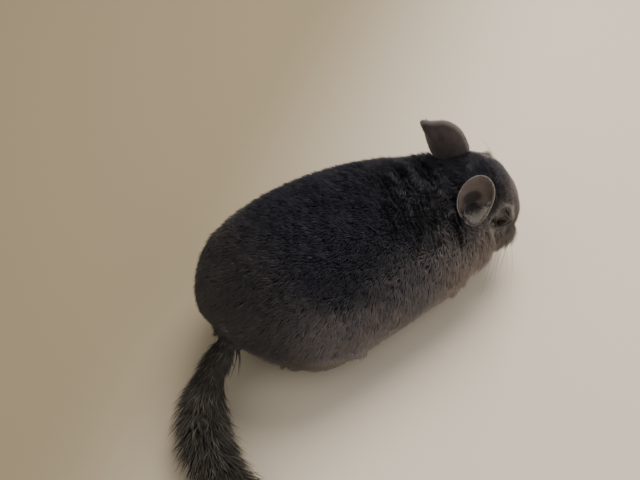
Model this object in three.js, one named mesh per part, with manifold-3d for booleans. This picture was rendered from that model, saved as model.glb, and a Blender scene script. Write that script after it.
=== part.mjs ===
// A life-size chinchilla, crouched with its head low and turned to its right, its tail laid round on the floor.
// Millimetres. +X is the way the chest faces, +Y is the animal's left and +Z is up.
// The origin is on the floor, in the middle of the small flat where the belly rests.

import * as THREE from "three";
import { mergeVertices } from "three/addons/utils/BufferGeometryUtils.js";
import Module from "manifold-3d";

const wasm = await Module();
wasm.setup();

// Clearances
const GAP = 0.3; // between two parts that touch
const MERGE = 1e-4; // vertices closer than this are one

// The trunk, from the rump to the middle of the head. Each station gives a point of the middle line, the
// half width to each side, the rise to the back and the drop to the belly. The coat is included.
const TRUNK = [
  { at: [-92, -8, 42], wide: 0, rise: 0, drop: 0, rings: 4 },
  { at: [-83, -5, 45], wide: 36, rise: 33, drop: 33, rings: 3 },
  { at: [-60, 0, 50], wide: 56, rise: 50, drop: 49, rings: 4 },
  { at: [-20, 3, 54], wide: 63, rise: 54, drop: 57, rings: 4 },
  { at: [22, 4, 54], wide: 61, rise: 54, drop: 57, rings: 4 },
  { at: [58, 2, 54], wide: 54, rise: 49, drop: 49, rings: 9 },
  { at: [86, -1, 54], wide: 47, rise: 41, drop: 42, rings: 6 },
  { at: [106, -6, 48], wide: 34, rise: 24, drop: 31, rings: 3 },
  { at: [117, -8, 45], wide: 0, rise: 0, drop: 0 },
];
const TRUNK_AROUND = 22;
const TRUNK_SQUARENESS = 2.15;

// Soft swellings and a hollow on the trunk: the middle of each, how far it spreads and how high it stands.
const HAUNCH = { x: -38, y: 46, z: 34, spread: 30, height: 5 };
const SHOULDER = { x: 60, y: 36, z: 34, spread: 20, height: 2.5 };
const NAPE_SIDE = { x: 94, y: 32, z: 80, spread: 19, height: 2 };

// Furrows across the nape, where the dense coat parts as the neck bends.
const FURROWS = { from: 68, step: 9, count: 5, depth: 2.2, half: 2.2 };

// Where the trunk is parted from the neck
const NECK_START = { point: [68, 2, 52], facing: [1, -0.08, 0.1] };

// The head, in its own frame: +X to the nose, +Y to its left, +Z to the crown.
const HEAD_PLACE = [106, -3, 70];
const HEAD_TURN = { yaw: -4, pitch: 26, roll: 20 }; // degrees: to its right, nose down, left side up
const HEAD = [
  { at: [-34, 0, 0], wide: 0, rise: 0, drop: 0, rings: 3 },
  { at: [-27, 0, 0], wide: 22, rise: 18, drop: 19, rings: 2 },
  { at: [-10, 0, 0.5], wide: 30, rise: 25, drop: 25, rings: 3 },
  { at: [6, 0, 0], wide: 30, rise: 24.5, drop: 25, rings: 2 },
  { at: [19, 0, -2.5], wide: 28, rise: 21, drop: 23, rings: 2 },
  { at: [31, 0, -6], wide: 22, rise: 15.5, drop: 18.5, rings: 2 },
  { at: [40, 0, -8], wide: 14.5, rise: 10.5, drop: 11.5, rings: 3 },
  { at: [45.5, 0, -8.5], wide: 0, rise: 0, drop: 0 },
];
const HEAD_AROUND = 22;
const WHISKER_PAD = { at: [33, 11, -12], size: [12, 10, 10] };
const CHEEK = { at: [15, 21, -14], size: [24, 15, 17] };
const CHIN = { at: [28, 0, -17.5], size: [11, 9, 6] };

// Eyes and their lids
const EYE = { at: [13, 21.8, 7.5], radius: 6.2 };
const LID_THICKNESS = 1.3;
const LID_OPENING = { out: 7, size: [5.8, 5, 3.6], slant: 14 };

// Nose, nostrils and mouth
const NOSE_PAD = { at: [43.6, 0, -5.4], size: [2.8, 4.6, 3.4] };
const NOSTRIL = { at: [45.6, 2.3, -5.4], size: [2.2, 0.9, 1.3], slant: 35 };
const MOUTH = { from: 0.93, to: 0.66, under: 62, out: 40, groove: 0.7, lip: 1.3, apart: 1.5 };
const CLEFT = { at: [43.8, 0, -12], size: [2.8, 0.5, 4] };

// Ears: a round cup each, wider above than at its root. Angles are in the head's frame, in degrees.
const EAR = { length: 48, halfWidth: 15, cup: 8.5, thickness: 1.9, narrowing: 0.25 };
const EAR_ROOT = [-16, 29.5, 6.5];
const EAR_POSE = {
  left: { tip: [-0.36, -0.08, 0.93], open: [0.6, 0.75, 0.1] },
  right: { tip: [0.01, 0.02, 1], open: [-0.1, -1, 0.1] },
};
const EAR_FRONT = 13; // the neck's fur keeps this far out of the cup
const EAR_RIDGE = { along: 0.34, size: [9, 1.6, 2.4] };

// Hind legs: the thigh is cut out of the haunch by this oval, and the long foot lies along the floor under it.
const THIGH = { x: -38, y: 40, z: 27, size: [33, 27, 30], turn: -8 };
const HIND_FOOT = { heel: [-54, 27], ball: [-18, 35], width: 6.5, height: 6 };
const HIND_TOES = { count: 3, length: 14, radius: 2.5, fan: 12, apart: 4.1 };

// Forelegs: the upper arm is cut out of the shoulder, and the forearm and paw reach the floor under the chest.
const UPPER_ARM = { x: 60, y: 31, z: 28, size: [17, 15, 22], turn: 0 };
const FORE_PAW = { elbow: [60, 24, 22], wrist: [72, 19, 7], knuckles: [80, 19, 4.2], radius: 5.2 };
const FORE_TOES = { count: 4, length: 8.5, radius: 1.7, fan: 15, apart: 2.9 };

const CLAW = { length: 3.2, radius: 0.75 };

// The tail's middle line, from its root under the rump, with the radius of its close core.
const TAIL = [
  { at: [-76, -2, 36], wide: 9, rings: 3 },
  { at: [-90, -6, 30], wide: 9.5, rings: 4 },
  { at: [-107, -16, 20], wide: 10, rings: 4 },
  { at: [-121, -34, 15.5], wide: 11.5, rings: 5 },
  { at: [-130, -60, 15], wide: 12, rings: 5 },
  { at: [-136, -86, 14], wide: 10, rings: 4 },
  { at: [-140, -106, 12], wide: 5.5, rings: 2 },
  { at: [-142, -114, 11], wide: 0 },
];
const TAIL_AROUND = 9;
const TAIL_PARTS = [
  { name: "tail_base", from: 0.02, to: 0.3 },
  { name: "tail_middle", from: 0.3, to: 0.63 },
  { name: "tail_tip", from: 0.63, to: 1 },
];
const LOCK = { length: 24, width: 8.5, thickness: 1.9, sunk: 3.4, lift: 27, rowStep: 13, around: 6 };
const LOCK_VARIES = { length: 0.22, lift: 9, turn: 10 };
const FLAT_LOCK = { length: 17, width: 7, thickness: 1.6, sunk: 2.6, lift: 12, rowStep: 13.5, around: 6 };
const BRUSH_END = { rows: 2, lift: 14, length: 26 };

// Colours and finishes
const finish = (colour, roughness) =>
  new THREE.MeshStandardMaterial({ color: colour, roughness, metalness: 0 });
const COAT_BACK = finish(0x35353b, 0.95);
const COAT_HEAD = finish(0x4c4a4b, 0.95);
const COAT_LEGS = finish(0x5d5855, 0.95);
const COAT_TAIL = finish(0x3d3a39, 0.95);
const EAR_SKIN = finish(0x7d6a62, 0.75);
const EYE_DARK = finish(0x0b0a0a, 0.08);
const CLAW_HORN = finish(0x6e625a, 0.5);

const vec = (p) => new THREE.Vector3(...p);
const radians = THREE.MathUtils.degToRad;

// A seeded run of random numbers from 0 to 1
function randomRun(seed) {
  let state = seed;
  return () => {
    state = (state * 1664525 + 1013904223) % 4294967296;
    return state / 4294967296;
  };
}

// A three.js geometry as a solid for joining and cutting
function solidOf(geometry, matrix = new THREE.Matrix4()) {
  const bare = geometry.clone();
  bare.deleteAttribute("normal");
  bare.deleteAttribute("uv");
  bare.applyMatrix4(matrix);
  const merged = mergeVertices(bare, MERGE);
  const mesh = new wasm.Mesh({
    numProp: 3,
    vertProperties: new Float32Array(merged.attributes.position.array),
    triVerts: new Uint32Array(merged.index.array),
  });
  return new wasm.Manifold(mesh);
}

// The largest closed surface of a solid
function largestOf(solid) {
  return solid.decompose().reduce((a, b) => (b.volume() > a.volume() ? b : a));
}

const joined = (solids) => solids.reduce((a, b) => a.add(b));
const mirrored = (p, side) => [p[0], p[1] * side, p[2]];

// A closed form laid along a line of stations: a sphere whose poles go to the two ends. Sizes are joined by
// their squares, so that an end closes round. relief(point, outward) adds height to the surface.
function formAlong(stations, { around, grow = 0, squareness = 2, relief = () => 0, up = [0, 0, 1] }) {
  const line = lineOf(stations);
  const places = ringPlaces(stations);
  const rows = places.length - 1;
  const geometry = new THREE.SphereGeometry(1, around, rows);
  const position = geometry.attributes.position;
  places.forEach((place, row) => {
    for (let column = 0; column <= around; column++) {
      const angle = (-2 * Math.PI * column) / around;
      const p = line.surface(place, angle, { grow, squareness, relief, up, end: endOf(row, rows) });
      position.setXYZ(row * (around + 1) + column, p.x, p.y, p.z);
    }
  });
  return geometry;
}

const endOf = (row, rows) => (row === 0 ? -1 : row === rows ? 1 : 0);

// The places of the rings, as shares of the line: each station says how many rings follow it.
function ringPlaces(stations) {
  const spans = stations.length - 1;
  const places = [0];
  for (let span = 0; span < spans; span++)
    for (let ring = 1; ring <= stations[span].rings; ring++)
      places.push((span + ring / stations[span].rings) / spans);
  return places;
}

// The middle line through the stations and the surface around it
function lineOf(stations) {
  const middle = new THREE.CatmullRomCurve3(stations.map((s) => vec(s.at)));
  const sizeOf = (s) => vec([s.wide, s.rise ?? s.wide, s.drop ?? s.wide].map((size) => size * size));
  const squares = new THREE.CatmullRomCurve3(stations.map(sizeOf), false, "catmullrom");
  const frame = (place, up) => {
    const along = middle.getTangent(place);
    const side = vec(up).cross(along).normalize();
    return { along, side, top: along.clone().cross(side) };
  };
  const surface = (place, angle, { grow = 0, squareness = 2, relief = () => 0, up = [0, 0, 1], end = 0 }) => {
    const { along, side, top } = frame(place, up);
    const p = middle.getPoint(place);
    if (end !== 0) return p.addScaledVector(along, grow * end);
    const [wide, rise, drop] = squares.getPoint(place).toArray().map((s) => Math.sqrt(Math.max(s, 0)) + grow);
    const c = Math.cos(angle);
    const s = Math.sin(angle);
    const reach = (Math.abs(c) ** squareness + Math.abs(s) ** squareness) ** (-1 / squareness);
    p.addScaledVector(side, c * reach * wide);
    p.addScaledVector(top, s * reach * (s > 0 ? rise : drop));
    const outward = side.clone().multiplyScalar(c).addScaledVector(top, s);
    return p.addScaledVector(outward, relief(p, outward));
  };
  return { middle, frame, surface };
}

// An oval: a sphere stretched to three half sizes, turned about +Z and moved into place
function oval(at, size, { turn = 0, grow = 0, around = 12, rows = 8 } = {}) {
  const geometry = new THREE.SphereGeometry(1, around, rows);
  geometry.scale(...size.map((half) => half + grow));
  geometry.rotateZ(radians(turn));
  geometry.translate(...at);
  return geometry;
}

// Everything under the floor, to be cut away
const underFloor = solidOf(new THREE.BoxGeometry(900, 900, 200).translate(0, 0, -100));
const aboveFloor = (solid) => solid.subtract(underFloor);

// The part of a solid past a plane. back moves the plane against the way it faces.
function pastPlane(solid, plane, back = 0) {
  const facing = vec(plane.facing).normalize();
  return solid.trimByPlane(facing.toArray(), facing.dot(vec(plane.point)) - back);
}

function shortOfPlane(solid, plane, back = 0) {
  return pastPlane(solid, { point: plane.point, facing: plane.facing.map((f) => -f) }, -back);
}

// Trunk

// A swelling on both sides of the trunk, fading with distance
function swelling(form, p) {
  const near = (side) => vec(mirrored([form.x, form.y, form.z], side)).distanceTo(p) / form.spread;
  return form.height * (Math.exp(-(near(1) ** 2)) + Math.exp(-(near(-1) ** 2)));
}

// Furrows run over the top of the nape and fade down its sides
function furrowDepth(p, outward) {
  const overTop = THREE.MathUtils.smoothstep(outward.z, -0.15, 0.55);
  let depth = 0;
  for (let n = 0; n < FURROWS.count; n++) {
    const off = (p.x - FURROWS.from - n * FURROWS.step) / FURROWS.half;
    depth += Math.exp(-off * off);
  }
  return FURROWS.depth * overTop * depth;
}

function trunkRelief(p, outward) {
  const forms = [HAUNCH, SHOULDER, NAPE_SIDE].map((form) => swelling(form, p));
  return forms.reduce((a, b) => a + b) - furrowDepth(p, outward);
}

function trunkForm(grow = 0) {
  const shape = { around: TRUNK_AROUND, squareness: TRUNK_SQUARENESS, relief: trunkRelief, grow };
  return solidOf(formAlong(TRUNK, shape));
}

// Head

const headGroup = new THREE.Group();
headGroup.position.set(...HEAD_PLACE);
headGroup.rotation.set(radians(HEAD_TURN.roll), radians(HEAD_TURN.pitch), radians(HEAD_TURN.yaw), "ZYX");
headGroup.updateMatrixWorld();
const inHead = headGroup.matrixWorld;

// The head without its eyes, lids and mouth
function headForm(grow = 0) {
  const pieces = [solidOf(formAlong(HEAD, { around: HEAD_AROUND, grow }), inHead)];
  for (const side of [1, -1]) {
    for (const lump of [WHISKER_PAD, CHEEK])
      pieces.push(solidOf(oval(mirrored(lump.at, side), lump.size, { grow }), inHead));
  }
  pieces.push(solidOf(oval(CHIN.at, CHIN.size, { grow }), inHead));
  pieces.push(solidOf(oval(NOSE_PAD.at, NOSE_PAD.size, { grow }), inHead));
  return joined(pieces);
}

function eyeBall(side, radius) {
  return solidOf(new THREE.SphereGeometry(radius, 14, 9).translate(...mirrored(EYE.at, side)), inHead);
}

// The gap between the lids, an almond that slants down towards the nose
function lidOpening(side) {
  const geometry = new THREE.SphereGeometry(1, 14, 8).scale(...LID_OPENING.size);
  geometry.rotateY(radians(LID_OPENING.slant));
  geometry.translate(EYE.at[0], side * (EYE.at[1] + LID_OPENING.out), EYE.at[2]);
  return solidOf(geometry, inHead);
}

// A thin closed tube along a curve
function tube(points, radius) {
  const curve = new THREE.CatmullRomCurve3(points);
  const section = new THREE.Shape();
  section.absarc(0, 0, radius, 0, 2 * Math.PI);
  const options = { extrudePath: curve, steps: points.length, curveSegments: 3, bevelEnabled: false };
  return new THREE.ExtrudeGeometry(section, options);
}

// The line of the mouth on the muzzle's surface, from one corner round under the nose to the other.
// lower moves it down the muzzle, in millimetres.
function mouthLine(lower = 0) {
  const muzzle = lineOf(HEAD);
  const points = [];
  const half = 4;
  for (let n = -half; n <= half; n++) {
    const share = Math.abs(n) / half;
    const place = THREE.MathUtils.lerp(MOUTH.from, MOUTH.to, share);
    const under = radians(THREE.MathUtils.lerp(90, MOUTH.under - MOUTH.out * share * 0.5, Math.sqrt(share)));
    const side = Math.sign(n) || 1;
    const p = muzzle.surface(place, -under, {});
    points.push(new THREE.Vector3(p.x, Math.abs(p.y) * side, p.z - lower));
  }
  return points;
}

function nostril(side) {
  const geometry = new THREE.SphereGeometry(1, 10, 8).scale(...NOSTRIL.size);
  geometry.rotateX(radians(-NOSTRIL.slant * side));
  geometry.translate(...mirrored(NOSTRIL.at, side));
  return solidOf(geometry, inHead);
}

function headSolid() {
  let head = headForm();
  for (const side of [1, -1]) head = head.add(eyeBall(side, EYE.radius + GAP + LID_THICKNESS));
  for (const side of [1, -1]) {
    head = head.subtract(eyeBall(side, EYE.radius + GAP));
    head = head.subtract(lidOpening(side));
    head = head.subtract(nostril(side));
  }
  for (const lower of [-MOUTH.apart, MOUTH.apart])
    head = head.add(solidOf(tube(mouthLine(lower), MOUTH.lip), inHead));
  head = head.subtract(solidOf(tube(mouthLine(), MOUTH.groove), inHead));
  head = head.subtract(solidOf(oval(CLEFT.at, CLEFT.size, { around: 10, rows: 8 }), inHead));
  return largestOf(head);
}

// Ears

// The ear as a flattened sphere pressed into a cup. Its own frame: +Y to the tip, +Z the way the cup opens.
function earGeometry(grow, front) {
  const geometry = new THREE.SphereGeometry(1, 20, 10);
  geometry.rotateX(Math.PI / 2);
  const position = geometry.attributes.position;
  for (let i = 0; i < position.count; i++) {
    const across = position.getX(i);
    const along = position.getY(i);
    const reach = Math.min(Math.hypot(across, along), 1);
    const narrow = 1 - EAR.narrowing * ((1 - along) / 2) ** 1.5;
    const cup = EAR.cup * (1 - (reach * (1 + grow / EAR.halfWidth)) ** 2.4) * (1 - 0.25 * along);
    const wall = (EAR.thickness / 2 + 2 * grow) * Math.sign(position.getZ(i)) * Math.sqrt(1 - reach ** 5);
    const filled = position.getZ(i) > 0 ? front * Math.sqrt(1 - reach ** 5) : 0;
    const wide = across * (EAR.halfWidth + grow) * narrow;
    position.setXYZ(i, wide, ((along + 1) / 2) * EAR.length + grow * along, wall - cup + filled);
  }
  return geometry;
}

// A ridge inside the cup, above the ear hole
function earRidge(grow) {
  const geometry = new THREE.SphereGeometry(1, 10, 6).scale(...EAR_RIDGE.size.map((half) => half + grow));
  return geometry.translate(1, EAR.length * EAR_RIDGE.along, -EAR.cup + EAR_RIDGE.size[2] * 0.4);
}

// The ear's own frame, set at its root on the head
function earMatrix(side, pose) {
  const tip = vec(pose.tip).normalize();
  const open = vec(pose.open);
  open.addScaledVector(tip, -open.dot(tip)).normalize();
  const root = vec(mirrored(EAR_ROOT, side)).applyMatrix4(inHead);
  return new THREE.Matrix4().makeBasis(tip.clone().cross(open), tip, open).setPosition(root);
}

function earForm(side, pose, grow = 0, front = 0) {
  const matrix = earMatrix(side, pose);
  return solidOf(earGeometry(grow, front), matrix).add(solidOf(earRidge(grow), matrix));
}

// Legs

// A round form through a few points
function limb(points, radii, { grow = 0, around = 8, flat = 1 } = {}) {
  const stations = points.map((at, n) => {
    const closed = n === 0 || n === points.length - 1;
    const wide = closed ? 0 : radii[n - 1];
    return { at, wide, rise: wide * flat, drop: wide * flat, rings: 2 };
  });
  return solidOf(formAlong(stations, { around, grow }));
}

// The roots and tips of a foot's toes, fanned out from the ball of the foot
function toesOf(ball, heading, toes, height, side) {
  const found = [];
  for (let n = 0; n < toes.count; n++) {
    const place = n - (toes.count - 1) / 2;
    const angle = heading + radians(place * toes.fan) * side;
    const along = new THREE.Vector3(Math.cos(angle), Math.sin(angle), 0);
    const across = new THREE.Vector3(-Math.sin(heading), Math.cos(heading), 0);
    const root = vec([ball[0], ball[1], height]).addScaledVector(across, place * toes.apart * side);
    const outer = 1 - 0.12 * Math.abs(place);
    const tip = root.clone().addScaledVector(along, toes.length * outer).setZ(toes.radius * 0.8);
    found.push({ root, tip, along });
  }
  return found;
}

function toeForm({ root, tip, along }, radius, grow) {
  const start = root.clone().addScaledVector(along, -radius * 1.5);
  const knuckle = root.clone().lerp(tip, 0.5).setZ(root.z * 0.4 + radius * 0.85);
  const pad = root.clone().lerp(tip, 0.86).setZ(radius * 0.9);
  return limb([start, root, knuckle, pad, tip].map((p) => p.toArray()), [radius, radius, radius * 0.95], {
    grow,
    around: 6,
  });
}

const headingOf = (from, to) => Math.atan2(to[1] - from[1], to[0] - from[0]);

function hindFoot(side) {
  const heel = mirrored([...HIND_FOOT.heel, 0], side);
  const ball = mirrored([...HIND_FOOT.ball, 0], side);
  const heading = headingOf(heel, ball);
  const height = HIND_FOOT.height * 0.62;
  const toes = toesOf(ball, heading, HIND_TOES, height, side);
  const form = (grow = 0) => {
    const level = (p, z) => [p[0], p[1], z];
    const middle = heel.map((x, n) => (x + ball[n]) / 2);
    const past = [ball[0] + 5 * Math.cos(heading), ball[1] + 5 * Math.sin(heading), 3];
    const start = [heel[0] - 6 * Math.cos(heading), heel[1] - 6 * Math.sin(heading), 6];
    const line = [start, level(heel, 6), level(middle, 5), level(ball, 4), past];
    const widths = [HIND_FOOT.width, HIND_FOOT.width, HIND_FOOT.width * 1.05];
    const sole = limb(line, widths, { grow, flat: HIND_FOOT.height / HIND_FOOT.width });
    return joined([sole, ...toes.map((toe) => toeForm(toe, HIND_TOES.radius, grow))]);
  };
  return { toes, form };
}

function forePaw(side) {
  const [elbow, wrist, knuckles] = [FORE_PAW.elbow, FORE_PAW.wrist, FORE_PAW.knuckles].map((p) => mirrored(p, side));
  const heading = headingOf(wrist, knuckles);
  const toes = toesOf(knuckles, heading, FORE_TOES, knuckles[2], side);
  const form = (grow = 0) => {
    const start = [elbow[0] - 4, elbow[1], elbow[2] + 8];
    const past = [knuckles[0] + 3, knuckles[1], 3];
    const radii = [FORE_PAW.radius * 1.3, FORE_PAW.radius, FORE_PAW.radius * 1.05];
    const arm = limb([start, elbow, wrist, knuckles, past], radii, { grow });
    return joined([arm, ...toes.map((toe) => toeForm(toe, FORE_TOES.radius, grow))]);
  };
  return { toes, form };
}

// A leg is the piece of trunk inside its oval, with its foot
function legSolid(oval, foot, trunk) {
  return largestOf(aboveFloor(trunk.intersect(oval).add(foot)));
}

function legOval(form, side, grow = 0) {
  return solidOf(oval(mirrored([form.x, form.y, form.z], side), form.size, { turn: form.turn * side, grow }));
}

// A claw: a cone that leaves the tip of its toe and points forward and a little down
function clawForm({ tip, along }, grow = 0) {
  const geometry = new THREE.ConeGeometry(CLAW.radius + grow, (CLAW.length + grow) * 2, 8, 2);
  const aim = along.clone().setZ(-0.12).normalize();
  const turn = new THREE.Quaternion().setFromUnitVectors(new THREE.Vector3(0, 1, 0), aim);
  geometry.applyQuaternion(turn).translate(tip.x, tip.y, tip.z + 0.5);
  return solidOf(geometry);
}

// Tail

const tailLine = lineOf(TAIL);
const tailPlane = (place) => ({
  point: tailLine.middle.getPoint(place).toArray(),
  facing: tailLine.middle.getTangent(place).toArray(),
});

function tailCore(part, grow = 0) {
  let core = solidOf(formAlong(TAIL, { around: TAIL_AROUND, grow }));
  core = pastPlane(core, tailPlane(part.from), grow - GAP / 2);
  return part.to < 1 ? shortOfPlane(core, tailPlane(part.to), GAP / 2 - grow) : core;
}

// A flat tapered lock: a box drawn out along a line that leaves the root and bends over to lie along the tail
function lockSolid({ root, outward, along, length, width, thickness, lift, sunk }) {
  const geometry = new THREE.BoxGeometry(1, 1, 1, 1, 1, 3);
  const across = outward.clone().cross(along).normalize();
  const position = geometry.attributes.position;
  for (let i = 0; i < position.count; i++) {
    const share = position.getZ(i) + 0.5;
    const angle = lift * (1.25 - 0.5 * share);
    const reach = share * length;
    const p = root.clone().addScaledVector(outward, -sunk * (1 - share));
    p.addScaledVector(outward, Math.sin(angle) * reach).addScaledVector(along, Math.cos(angle) * reach);
    const taper = share < 0.4 ? 0.8 + 0.5 * share : 1 - 1.45 * (share - 0.4);
    p.addScaledVector(across, position.getX(i) * width * taper);
    p.addScaledVector(outward, position.getY(i) * thickness * (1 - 0.75 * share));
    position.setXYZ(i, p.x, p.y, p.z);
  }
  return solidOf(geometry);
}

// Rows of locks round one part of the tail, each row set between the locks of the last
function tailLocks(part, kind, seed, grow = 0) {
  const random = randomRun(seed);
  const vary = (share) => 1 + share * (2 * random() - 1);
  const rowsPerPlace = tailLine.middle.getLength() / kind.rowStep;
  const rows = Math.floor((part.to - part.from) * rowsPerPlace);
  const locks = [];
  for (let row = 0; row < rows; row++) {
    const place = Math.min(part.from + (row + 0.45) / rowsPerPlace, 0.985);
    const last = part.to === 1 ? Math.max(0, row - (rows - 1 - BRUSH_END.rows)) : 0;
    for (let n = 0; n < kind.around; n++) {
      const angle = ((n + 0.5 * (row % 2)) / kind.around) * 2 * Math.PI + radians(LOCK_VARIES.turn) * (random() - 0.5);
      const { along, side, top } = tailLine.frame(place, [0, 0, 1]);
      const outward = side.clone().multiplyScalar(Math.cos(angle)).addScaledVector(top, Math.sin(angle));
      const lift = last > 0 ? BRUSH_END.lift : kind.lift;
      const length = (last > 0 ? BRUSH_END.length : kind.length) * vary(LOCK_VARIES.length);
      const tilt = radians(lift + LOCK_VARIES.lift * (2 * random() - 1));
      locks.push(
        lockSolid({
          root: tailLine.surface(place, angle, {}),
          outward,
          along,
          length: length + grow,
          width: kind.width + 2 * grow,
          thickness: kind.thickness + 2 * grow,
          lift: tilt,
          sunk: kind.sunk,
        }),
      );
    }
  }
  return locks;
}

const lockKind = (part) => (part.name === "tail_base" ? FLAT_LOCK : LOCK);

function tailForm(index, grow = 0) {
  const part = TAIL_PARTS[index];
  return joined([tailCore(part, grow), ...tailLocks(part, lockKind(part), 11 + index, grow)]);
}

// Each length of tail, cut clear of the next one, of the trunk and of the floor
function tailSolid(index, trunkGrown) {
  let solid = tailForm(index);
  if (index + 1 < TAIL_PARTS.length) solid = solid.subtract(tailForm(index + 1, GAP));
  if (index === 0) solid = solid.subtract(trunkGrown);
  return largestOf(aboveFloor(solid));
}

// The chinchilla

const chinchilla = new THREE.Group();
const body = new THREE.Group();
const tail = new THREE.Group();
chinchilla.add(body, headGroup, tail);

// Adds a solid as a named mesh of a group, in the group's own frame
function addPart(group, name, solid, material) {
  const { vertProperties, triVerts } = solid.getMesh();
  const geometry = new THREE.BufferGeometry();
  geometry.setAttribute("position", new THREE.BufferAttribute(new Float32Array(vertProperties), 3));
  geometry.setIndex(new THREE.BufferAttribute(new Uint32Array(triVerts), 1));
  geometry.applyMatrix4(group.matrixWorld.clone().invert());
  geometry.computeVertexNormals();
  const mesh = new THREE.Mesh(geometry, material);
  mesh.name = name;
  group.add(mesh);
}

const SIDES = { left: 1, right: -1 };
const trunk = trunkForm();
const trunkGrown = trunkForm(GAP);
const headGrown = headForm(GAP);

let torso = shortOfPlane(trunk, NECK_START, GAP / 2);
let neck = pastPlane(trunk, NECK_START, -GAP / 2).subtract(headGrown);
for (const [sideName, side] of Object.entries(SIDES)) {
  const legs = [
    { name: "hindleg", form: THIGH, foot: hindFoot(side), toeRadius: HIND_TOES.radius },
    { name: "foreleg", form: UPPER_ARM, foot: forePaw(side), toeRadius: FORE_TOES.radius },
  ];
  for (const { name, form, foot, toeRadius } of legs) {
    const grownFoot = foot.form(GAP);
    torso = torso.subtract(legOval(form, side, GAP)).subtract(grownFoot);
    neck = neck.subtract(grownFoot);
    const leg = legSolid(legOval(form, side), foot.form(), shortOfPlane(trunk, NECK_START, GAP / 2));
    addPart(body, `${name}_${sideName}`, leg, COAT_LEGS);
    foot.toes.forEach((toe, n) => {
      const claw = clawForm(toe).subtract(toeForm(toe, toeRadius, GAP));
      torso = torso.subtract(clawForm(toe, GAP));
      neck = neck.subtract(clawForm(toe, GAP));
      addPart(body, `claw_${name}_${sideName}_${n + 1}`, largestOf(aboveFloor(claw)), CLAW_HORN);
    });
  }
  const pose = EAR_POSE[sideName];
  neck = neck.subtract(earForm(side, pose, 1.5 * GAP, EAR_FRONT));
  addPart(headGroup, `ear_${sideName}`, largestOf(earForm(side, pose).subtract(headGrown)), EAR_SKIN);
  addPart(headGroup, `eye_${sideName}`, eyeBall(side, EYE.radius), EYE_DARK);
}
addPart(body, "torso", largestOf(aboveFloor(torso)), COAT_BACK);
addPart(body, "neck", largestOf(neck), COAT_BACK);
addPart(headGroup, "head", headSolid(), COAT_HEAD);
TAIL_PARTS.forEach((part, index) => addPart(tail, part.name, tailSolid(index, trunkGrown), COAT_TAIL));

export default chinchilla;
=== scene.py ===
# The look of a life-size chinchilla, crouched with its tail laid round to its right.
# One skin, a coat of tapered tufts, thin ears, wet eyes, lids, a nose, claws and whiskers.
# Metres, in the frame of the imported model: +X the way the chest faces, +Y its left, +Z up.

import math

import bmesh
import bpy
import numpy as np
from mathutils import Euler, Matrix, Vector
from mathutils.kdtree import KDTree


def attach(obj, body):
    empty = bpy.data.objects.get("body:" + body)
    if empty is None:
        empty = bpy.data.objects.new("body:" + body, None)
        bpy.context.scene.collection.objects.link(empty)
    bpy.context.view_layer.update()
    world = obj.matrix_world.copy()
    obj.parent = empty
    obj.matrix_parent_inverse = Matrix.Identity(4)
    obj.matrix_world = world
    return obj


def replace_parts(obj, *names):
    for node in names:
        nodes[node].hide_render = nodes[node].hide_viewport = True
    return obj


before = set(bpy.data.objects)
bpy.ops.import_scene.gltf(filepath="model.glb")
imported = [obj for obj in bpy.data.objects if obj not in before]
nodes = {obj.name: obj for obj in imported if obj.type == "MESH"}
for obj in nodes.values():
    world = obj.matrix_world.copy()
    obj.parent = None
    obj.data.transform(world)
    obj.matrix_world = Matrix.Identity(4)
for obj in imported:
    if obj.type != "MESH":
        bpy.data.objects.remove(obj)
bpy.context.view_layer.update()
MM = 0.001
SIDES = {"left": 1, "right": -1}

# The head's frame: +X to the nose, +Y to its left, +Z to the crown
HEAD_PLACE = Vector((106, -3, 70)) * MM
HEAD_TURN = Euler([math.radians(a) for a in (20, 26, -4)], "XYZ")
IN_HEAD = Matrix.Translation(HEAD_PLACE) @ HEAD_TURN.to_matrix().to_4x4()
HEAD_AXES = np.array(HEAD_TURN.to_matrix()).T
FACE_MIDDLE = (22, 0, -13)  # where the face's own grey is strongest, in millimetres

# Eyes, lids and nose, in the head's frame, in millimetres
EYE_AT = (11, 21.8, 6.5)
EYE_RADIUS = 7.0
EYE_FLESH = 1.5  # how thick the ball of flesh round each eye is
EYE_BED = 1.6  # how far under the eye's surface the skin closes
LID_HALF_ANGLES = (56, 36)  # how far the lids open along and across the eye, in degrees
LID_SLANT = 12
LID_STEPS = 56
LID_SECTION = [  # how far out each corner is, as a share of the opening, and how high over the eye
    (0.93, -0.9), (0.9, 0.05), (0.93, 0.4), (1.0, 0.65), (1.08, 0.7),
    (1.18, 0.35), (1.28, 0.6), (1.42, 0.55), (1.6, -0.1), (1.65, -1.2),
]
NOSE_AT = (44.8, 0, -5.6)
NOSE_SIZES = (2.6, 4.4, 3.2)  # half sizes

# Ears: a thin cup each, in its own frame with +Y to the tip and +Z the way it opens, in millimetres.
# Sunk is how deep its foot stands in the fur; corner and foot are how far these are drawn out.
EAR_CUP = 8.5
EAR_WALL = 1.3
EAR_SHAPE = {
    "left": dict(length=41, half_width=14, aside=-1.3, sunk=9, narrowing=0, corner=0.36, foot=0.15),
    "right": dict(length=48, half_width=14.5, aside=0, sunk=0, narrowing=0.25, corner=0, foot=0),
}
EAR_ROOT = (-16, 29.5, 6.5)  # in the head's frame
EAR_POSE = {  # which way the tip and the opening point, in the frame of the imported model
    "left": dict(tip=(-0.36, -0.08, 0.93), opening=(0.6, 0.75, 0.1)),
    "right": dict(tip=(-0.08, 0.04, 0.99), opening=(-0.25, -0.96, 0.1)),
}
EAR_HAIR = {
    "nap": dict(count=2600, length=(1.1, 2.0), width=0.32, lift=16),
    "wisps": dict(count=620, length=(4, 8), width=0.55, lift=38),
}

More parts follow.
